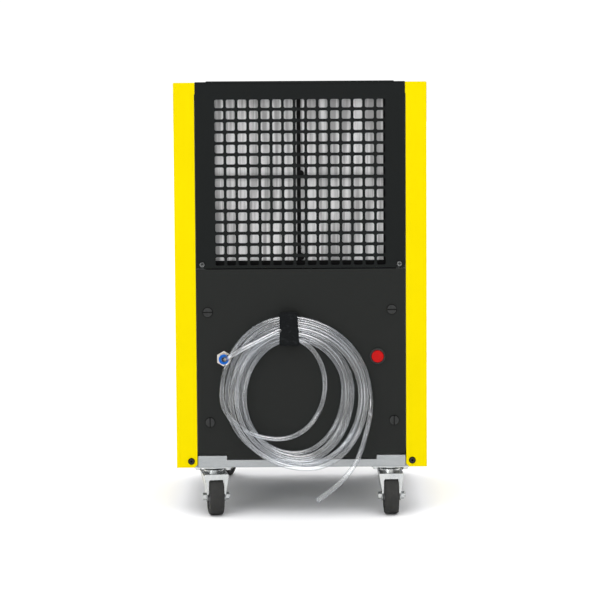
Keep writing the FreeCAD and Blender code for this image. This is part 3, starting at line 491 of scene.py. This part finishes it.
def powder_coat(name, colour, edge_highlight_colour, roughness, texture_height, gloss, dust=0.0):
    """Powder coat: fine orange peel, a trace of unevenness in shade and gloss, and edges painted paler as a
    highlight.
    """
    material, tree = new_material(name)
    cloud = grain(tree, 6.0, 4.0)
    speck = grain(tree, 900.0, 2.0)
    shade = remap(tree, cloud, 0.3, 0.7, 0.0, 1.0)
    darker = tuple(c * 0.95 for c in colour)
    base = blend_colours(tree, shade, darker, colour)
    specks = remap(tree, speck, 0.62, 0.75, 0.0, 0.25)
    base = blend_colours(tree, specks, base, tuple(c * 0.8 for c in colour))
    # Painted highlight: the edges are blended halfway to the paler edge colour.
    edge_highlight = arithmetic(tree, "MULTIPLY", painted_edge_highlight_mask(tree, 0.0012), 0.5)
    base = blend_colours(tree, edge_highlight, base, edge_highlight_colour)
    if dust:
        film = remap(tree, grain(tree, 14.0, 6.0), 0.5, 0.8, 0.0, dust)
        base = blend_colours(tree, film, base, (0.25, 0.25, 0.24))
    peel = grain(tree, 420.0, 2.0)
    rough = remap(tree, cloud, 0.3, 0.7, roughness - 0.04, roughness + 0.05)
    normal = bump(tree, peel, texture_height, 0.6, rounded_normal(tree, 0.0006))
    finish_material(tree, principled(tree, base_color=base, roughness=rough, normal=normal,
                                     specular_ior_level=gloss))
    return material


def plated_metal(name, colour, second_colour, roughness, streak=(1.0, 1.0, 1.0), patch=60.0, scratch=0.00004):
    """Plated or bare metal with cloudy patches, fine scratches and a painted highlight on its edges."""
    material, tree = new_material(name)
    patches = grain(tree, patch, 5.0, streak, 0.6)
    base = blend_colours(tree, remap(tree, patches, 0.35, 0.7, 0.0, 1.0), colour, second_colour)
    # Painted highlight: the edges are blended toward a colour a quarter paler than the metal.
    edge_highlight = arithmetic(tree, "MULTIPLY", painted_edge_highlight_mask(tree, 0.0008), 0.35)
    base = blend_colours(tree, edge_highlight, base, tuple(min(1.0, c * 1.25) for c in colour))
    scratches = grain(tree, 700.0, 2.0, (1.0, 1.0, 0.06))
    uneven = arithmetic(tree, "ADD", patches, arithmetic(tree, "MULTIPLY", scratches, 0.4))
    rough = remap(tree, uneven, 0.4, 1.1, roughness - 0.06, roughness + 0.12)
    normal = bump(tree, scratches, scratch, 0.5, rounded_normal(tree, 0.0007))
    finish_material(tree, principled(tree, base_color=base, metallic=1.0, roughness=rough, normal=normal))
    return material


def galvanised(name):
    """Zinc-coated sheet: faint spangles a millimetre or two across and rolling streaks along X."""
    material, tree = new_material(name)
    cells = add_node(tree, "TexVoronoi", {"Vector": position(tree), "Scale": 620.0, "Randomness": 1.0})
    shade = add_node(tree, "SeparateColor", {"Color": cells.outputs["Color"]}).outputs["Red"]
    cloud = grain(tree, 22.0, 4.0)
    streak = grain(tree, 240.0, 4.0, (0.06, 1.0, 1.0))
    spangle = arithmetic(tree, "MULTIPLY", shade, 0.25)
    mixed = arithmetic(tree, "ADD", spangle, arithmetic(tree, "MULTIPLY", cloud, 0.35))
    mixed = arithmetic(tree, "ADD", mixed, arithmetic(tree, "MULTIPLY", streak, 0.4))
    share = remap(tree, mixed, 0.25, 0.75, 0.0, 1.0)
    base = blend_colours(tree, share, (0.275, 0.290, 0.295), (0.350, 0.362, 0.368))
    # Painted highlight: the edges are blended toward a paler zinc.
    edge_highlight = arithmetic(tree, "MULTIPLY", painted_edge_highlight_mask(tree, 0.0014), 0.7)
    base = blend_colours(tree, edge_highlight, base, (0.60, 0.61, 0.61))
    rough = remap(tree, shade, 0.0, 1.0, 0.40, 0.50)
    normal = bump(tree, shade, 0.00004, 0.4, rounded_normal(tree, 0.0009))
    finish_material(tree, principled(tree, base_color=base, metallic=0.7, roughness=rough, normal=normal))
    return material


def moulded_plastic(name, colour, roughness, grain_height=0.00003, subsurface=0.0, rim=0.0, gloss=0.3):
    """Moulded plastic: a fine spark-eroded texture and a little mottle; a rim above 0 paints shade into the
    hollows and a highlight of that much on the edges.
    """
    material, tree = new_material(name)
    mottle = grain(tree, 35.0, 3.0)
    shade = remap(tree, mottle, 0.3, 0.7, 0.0, 1.0)
    darker = tuple(c * 0.9 for c in colour)
    paler = tuple(min(1.0, c * 1.06) for c in colour)
    base = blend_colours(tree, shade, darker, paler)
    if rim:
        # Painted shade: hollows found by ambient occlusion are darkened; painted highlight: the edges are
        # made paler by rim.
        painted_shade_ao = add_node(tree, "AmbientOcclusion", {"Distance": 0.003}, samples=8).outputs["AO"]
        painted_hollow_shade = remap(tree, painted_shade_ao, 0.35, 0.85, 0.8, 0.0)
        base = blend_colours(tree, painted_hollow_shade, base, tuple(c * 0.2 for c in colour))
        edge_highlight = arithmetic(tree, "MULTIPLY", painted_edge_highlight_mask(tree, 0.0005, 0.9), 0.8)
        base = blend_colours(tree, edge_highlight, base, tuple(c + rim for c in colour))
    texture = grain(tree, 1400.0, 2.0)
    rough = remap(tree, mottle, 0.3, 0.7, roughness - 0.05, roughness + 0.05)
    normal = bump(tree, texture, grain_height, 0.7, rounded_normal(tree, 0.0005))
    shader = principled(tree, base_color=base, roughness=rough, normal=normal, specular_ior_level=gloss,
                        subsurface_weight=subsurface,
                        subsurface_radius=(0.004, 0.001, 0.001))
    finish_material(tree, shader)
    return material


WORN_BLACK = (0.16, 0.165, 0.165)
# Painted shade for the sides, rims and slots of fasteners.
PAINTED_SHADE_BLACK = (0.0008, 0.0008, 0.0008)


def slotted_head(name, colour, worn_above=None):
    """Black fastener with painted shade: its sides, its rim and the inside of its slot are painted
    near-black, its flat face keeps its colour.

    Heads higher than worn_above have lost more of their black.
    """
    material, tree = new_material(name)
    # Painted shade: faces that don't look along Y, and hollows found by ambient occlusion, get the near-black
    # and no specular.
    normal = add_node(tree, "NewGeometry").outputs["Normal"]
    front = add_node(tree, "SeparateXYZ", {"Vector": normal}).outputs["Y"]
    face = remap(tree, arithmetic(tree, "ABSOLUTE", front), 0.80, 0.98, 0.0, 1.0)
    painted_shade_ao = add_node(tree, "AmbientOcclusion", {"Distance": 0.004}, samples=8).outputs["AO"]
    face = arithmetic(tree, "MULTIPLY", face, remap(tree, painted_shade_ao, 0.55, 0.95, 0.0, 1.0))
    rub = remap(tree, grain(tree, 260.0, 4.0), 0.3, 0.7, 0.8, 1.15)
    face = arithmetic(tree, "MULTIPLY", face, rub)
    if worn_above is not None:
        height = add_node(tree, "SeparateXYZ", {"Vector": position(tree)}).outputs["Z"]
        high = arithmetic(tree, "GREATER_THAN", height, worn_above)
        spots = remap(tree, grain(tree, 500.0, 3.0), 0.42, 0.62, 0.15, 1.0)
        colour = blend_colours(tree, arithmetic(tree, "MULTIPLY", high, spots), colour, WORN_BLACK)
    base = blend_colours(tree, face, PAINTED_SHADE_BLACK, colour)
    shine = arithmetic(tree, "MULTIPLY", face, 0.16)
    finish_material(tree, principled(tree, base_color=base, roughness=0.5, specular_ior_level=shine))
    return material


def rubber(name, colour, dust_colour, roughness=0.75):
    """Rubber: matt, with dust in its texture and a scuffed tread."""
    material, tree = new_material(name)
    scuff = grain(tree, 90.0, 6.0, roughness=0.65)
    base = blend_colours(tree, remap(tree, scuff, 0.42, 0.75, 0.0, 0.55), colour, dust_colour)
    rough = remap(tree, scuff, 0.3, 0.7, roughness - 0.1, roughness + 0.1)
    normal = bump(tree, grain(tree, 1100.0, 3.0), 0.00008, 0.8, rounded_normal(tree, 0.0008))
    finish_material(tree, principled(tree, base_color=base, roughness=rough, normal=normal,
                                     specular_ior_level=0.3))
    return material


PVC_IOR = 1.53
# Painted highlight lines on the hose, laid by the direction its surface faces: the normal each lies round,
# the cosines where it begins and is full, and its strength
PAINTED_HIGHLIGHT_LINES = [
    ((0.05, -0.86, 0.5), 0.945, 0.992, 0.30),
    ((-0.35, -0.93, 0.1), 0.975, 0.996, 0.12),
]


def clear_pvc(name):
    """Clear soft PVC tube: milky along its middle, darker where its wall is seen edge-on, and wet-looking,
    with painted highlight lines and painted light on its upper and lower sides.
    """
    material, tree = new_material(name)
    cloud = grain(tree, 40.0, 4.0)
    patch = remap(tree, grain(tree, 9.0, 2.0), 0.35, 0.65, 0.0, 1.0)
    tint = blend_colours(tree, patch, (0.56, 0.60, 0.68), (0.66, 0.66, 0.65))
    skin = principled(tree, base_color=tint, roughness=0.3, ior=PVC_IOR, specular_ior_level=0.1)
    facing = add_node(tree, "LayerWeight", {"Blend": 0.5}).outputs["Facing"]
    edge_on = remap(tree, facing, 0.42, 0.86, 0.0, 1.0, "SMOOTHSTEP")
    glass = blend_colours(tree, edge_on, (0.97, 0.98, 0.99), (0.26, 0.28, 0.32))
    window = add_node(tree, "BsdfTransparent", {"Color": glass}).outputs["BSDF"]
    rising = remap(tree, facing, 0.0, 0.22, 0.62, 1.0, "SMOOTHSTEP")
    falling = remap(tree, facing, 0.34, 0.80, 1.0, 0.0, "SMOOTHSTEP")
    wall = arithmetic(tree, "MULTIPLY", rising, falling)
    # Painted light: the body is made more solid on the upper and lower sides of a tube, as if lit by ceiling
    # and floor, and thinner on its left and right
    normal = add_node(tree, "NewGeometry").outputs["Normal"]
    upness = add_node(tree, "SeparateXYZ", {"Vector": normal}).outputs["Z"]
    painted_light_up_and_down = remap(tree, arithmetic(tree, "ABSOLUTE", upness), 0.0, 0.6, 0.55, 1.45)
    wall = arithmetic(tree, "MULTIPLY", wall, painted_light_up_and_down)
    solid = remap(tree, wall, 0.0, 1.0, 0.01, 0.07)
    solid = arithmetic(tree, "ADD", solid, remap(tree, cloud, 0.35, 0.7, -0.01, 0.02))
    body = add_node(tree, "MixShader", {0: solid, 1: window, 2: skin}).outputs["Shader"]
    white = (1.0, 1.0, 1.0, 1.0)
    gloss = add_node(tree, "BsdfAnisotropic", {"Color": white, "Roughness": 0.13}).outputs["BSDF"]
    # The skin shines by its Fresnel share, and a painted highlight line is laid on the upper front of a level
    # tube and a faint one on the left of an upright tube, by the direction the surface faces
    shine_and_painted_lines = arithmetic(tree, "MINIMUM", add_node(tree, "Fresnel", {"IOR": PVC_IOR}).outputs["Fac"], 0.30)
    for toward, begin, full, strength in PAINTED_HIGHLIGHT_LINES:
        along = add_node(tree, "VectorMath", {0: normal, 1: toward}, operation="DOT_PRODUCT").outputs["Value"]
        line = remap(tree, along, begin, full, 0.0, strength, "SMOOTHSTEP")
        shine_and_painted_lines = arithmetic(tree, "MAXIMUM", shine_and_painted_lines, line)
    shader = add_node(tree, "MixShader", {0: shine_and_painted_lines, 1: body, 2: gloss}).outputs["Shader"]
    finish_material(tree, shader)
    return material


def hook_and_loop(name):
    """Black loop fabric: short fuzz over a woven ground."""
    material, tree = new_material(name)
    fuzz = grain(tree, 1500.0, 6.0, roughness=0.8)
    cloud = grain(tree, 180.0, 4.0)
    tips = remap(tree, fuzz, 0.4, 0.75, 0.0, 1.0)
    base = blend_colours(tree, tips, (0.003, 0.0035, 0.004), (0.020, 0.022, 0.023))
    base = blend_colours(tree, remap(tree, cloud, 0.55, 0.8, 0.0, 0.5), base, (0.028, 0.030, 0.031))
    normal = bump(tree, fuzz, 0.0006, 1.0)
    finish_material(tree, principled(tree, base_color=base, roughness=0.95, specular_ior_level=0.04,
                                     sheen_weight=0.01, sheen_roughness=0.5, normal=normal))
    return material


def filter_fabric(name):
    """Silver knitted mesh of the washable filter, with random upright darker bands."""
    material, tree = new_material(name)
    stitches = add_node(tree, "TexVoronoi", {"Vector": position(tree, (1.0, 1.0, 0.7)), "Scale": 900.0})
    stitch = remap(tree, stitches.outputs["Distance"], 0.0, 0.6, 1.0, 0.0)
    bands = grain(tree, 110.0, 3.0, (1.0, 1.0, 0.05))
    cloud = grain(tree, 30.0, 4.0)
    base = blend_colours(tree, remap(tree, stitch, 0.1, 0.8, 0.0, 1.0), (0.85, 0.85, 0.85), (1.0, 1.0, 1.0))
    base = blend_colours(tree, remap(tree, bands, 0.40, 0.60, 0.0, 0.85), base, (0.30, 0.30, 0.30))
    base = blend_colours(tree, remap(tree, cloud, 0.4, 0.7, 0.0, 0.15), base, (0.60, 0.60, 0.59))
    normal = bump(tree, stitch, 0.0004, 0.8)
    finish_material(tree, principled(tree, base_color=base, metallic=0.1, roughness=0.45, normal=normal))
    return material


MATERIALS = {
    "yellow_paint": powder_coat("yellow_paint", (0.685, 0.548, 0.0003), (0.70, 0.59, 0.02),
                                0.55, 0.00012, 0.01),
    "black_paint": powder_coat("black_paint", (0.0086, 0.0098, 0.0097), (0.0276, 0.029, 0.029),
                               0.5, 0.00015, 0.055),
    "galvanised_steel": galvanised("galvanised_steel"),
    "zinc_plated_steel": plated_metal("zinc_plated_steel", (0.54, 0.55, 0.54), (0.40, 0.42, 0.43), 0.24,
                                      patch=22.0, scratch=0.00001),
    "nickel_plate": plated_metal("nickel_plate", (0.50, 0.47, 0.43), (0.42, 0.39, 0.35), 0.16),
    "black_plastic": moulded_plastic("black_plastic", (0.0093, 0.01, 0.01), 0.45, rim=0.16),
    "grey_plastic": moulded_plastic("grey_plastic", (0.138, 0.1414, 0.1449), 0.5),
    "blue_plastic": moulded_plastic("blue_plastic", (0.0021, 0.0966, 0.4278), 0.35, gloss=0.15),
    "red_plastic": moulded_plastic("red_plastic", (0.3864, 0.0007, 0.0007), 0.35, subsurface=0.1, gloss=0.12),
    "white_plastic": moulded_plastic("white_plastic", (0.5106, 0.5106, 0.4899), 0.42),
    "clear_hose": clear_pvc("clear_hose"),
    "black_fabric": hook_and_loop("black_fabric"),
    "filter_mesh": filter_fabric("filter_mesh"),
    "filter_frame": moulded_plastic("filter_frame", (0.0028, 0.0028, 0.0030), 0.5, gloss=0.05),
    "fin_aluminium": plated_metal("fin_aluminium", (0.78, 0.79, 0.80), (0.70, 0.71, 0.72), 0.35),
    "copper_tube": plated_metal("copper_tube", (0.80, 0.42, 0.27), (0.62, 0.30, 0.18), 0.28, patch=25.0),
    "compressor_paint": powder_coat("compressor_paint", (0.02, 0.02, 0.022), (0.05, 0.05, 0.05),
                                    0.35, 0.0002, 0.5),
    "motor_aluminium": plated_metal("motor_aluminium", (0.56, 0.57, 0.58), (0.46, 0.47, 0.48), 0.45),
    "rubber_tyre": rubber("rubber_tyre", (0.0179, 0.0179, 0.0172), (0.0428, 0.0421, 0.0393)),
    "rubber": rubber("rubber", (0.0124, 0.0124, 0.0124), (0.0345, 0.0345, 0.0331)),
    "plate_aluminium": plated_metal("plate_aluminium", (0.55, 0.59, 0.66), (0.48, 0.52, 0.58), 0.35,
                                    (1.0, 1.0, 0.08)),
}


# The lower panel is painted a shade paler than the filter cover, as painted light from the floor below.
# Fasteners and screws have a material of their own, with painted shade on the sides, rims and slots of their
# heads.
OWN_MATERIALS = {
    "rear_service_panel": powder_coat("black_paint_lower_painted_light", (0.0121, 0.0132, 0.0123), (0.031, 0.0325, 0.032),
                                      0.5, 0.00015, 0.10),
    "black_screws": slotted_head("black_screw", (0.021, 0.0215, 0.0215), worn_above=0.3),
}
for corner in ("upper_left", "upper_right", "lower_left", "lower_right"):
    OWN_MATERIALS["quarter_turn_" + corner] = slotted_head("quarter_turn_" + corner, (0.024, 0.025, 0.0245))


def paint_frame():
    """Every CAD node gets its own material, or that of its slot in the record."""
    for part in frame["record"]["subparts"]:
        piece = nodes[part["node"]]
        piece.data.materials.clear()
        piece.data.materials.append(OWN_MATERIALS.get(part["node"], MATERIALS[part["material_slot"]]))


paint_frame()
for piece in hose_pieces:
    piece.data.materials.append(MATERIALS["clear_hose"])
strap.data.materials.append(MATERIALS["black_fabric"])
filter_sheet.data.materials.append(MATERIALS["filter_mesh"])


# ---------------------------------------------------------------- studio
def make_floor():
    """Wide white studio floor."""
    material, tree = new_material("studio_floor")
    shade = remap(tree, grain(tree, 3.0, 3.0), 0.3, 0.7, 0.975, 0.985)
    cool = arithmetic(tree, "ADD", shade, 0.012)
    base = add_node(tree, "CombineColor", {"Red": shade, "Green": shade, "Blue": cool}).outputs["Color"]
    finish_material(tree, principled(tree, base_color=base, roughness=0.8, specular_ior_level=0.1))
    mesh = bmesh.new()
    bmesh.ops.create_grid(mesh, x_segments=12, y_segments=12, size=60.0)
    data = bpy.data.meshes.new("studio_floor")
    mesh.to_mesh(data)
    data.materials.append(material)
    floor = bpy.data.objects.new("studio_floor", data)
    bpy.context.scene.collection.objects.link(floor)


def sun_light(name, travel, strength, spread):
    """Even light along a direction, as soft as a source that many degrees wide."""
    data = bpy.data.lights.new(name, "SUN")
    data.energy = strength
    data.angle = math.radians(spread)
    light = bpy.data.objects.new(name, data)
    light.rotation_euler = Vector(travel).to_track_quat("-Z", "Y").to_euler()
    light.location = (0.0, 0.0, 3.0)
    bpy.context.scene.collection.objects.link(light)


def soft_box(name, place, target, width, height, power):
    """A rectangular lamp that points at target."""
    data = bpy.data.lights.new(name, "AREA")
    data.shape = "RECTANGLE"
    data.size = width
    data.size_y = height
    data.energy = power
    light = bpy.data.objects.new(name, data)
    light.location = place
    light.rotation_euler = (Vector(target) - Vector(place)).to_track_quat("-Z", "Y").to_euler()
    bpy.context.scene.collection.objects.link(light)


def make_lights():
    sun_light("key", (0.52, 0.82, -0.26), 0.6, 24.0)
    soft_box("strip", (0.0, -2.2, 2.4), (0.0, 0.0, 0.4), 3.2, 0.14, 7.0)
    world = bpy.data.worlds.new("studio")
    world.use_nodes = True
    tree = world.node_tree
    tree.nodes.clear()
    direction = add_node(tree, "SeparateXYZ", {"Vector": add_node(tree, "TexCoord").outputs["Generated"]})
    ceiling = remap(tree, direction.outputs["Z"], 0.35, 0.95, 0.02, 2.5)
    behind = remap(tree, direction.outputs["Y"], 0.0, 0.8, 0.0, 0.12)
    front = remap(tree, direction.outputs["Y"], -0.76, -0.90, 0.0, 1.5)
    glow = arithmetic(tree, "ADD", arithmetic(tree, "ADD", ceiling, behind), front)
    seen = add_node(tree, "LightPath").outputs["Is Camera Ray"]
    strength = add_node(tree, "Mix", {0: seen, 2: glow, 3: 1.05}).outputs[0]
    backdrop = add_node(tree, "Background", {"Color": (1.0, 1.0, 1.0, 1.0), "Strength": strength})
    output = add_node(tree, "OutputWorld")
    tree.links.new(backdrop.outputs["Background"], output.inputs["Surface"])
    bpy.context.scene.world = world
    bpy.context.scene.view_settings.view_transform = "Standard"


make_floor()
make_lights()
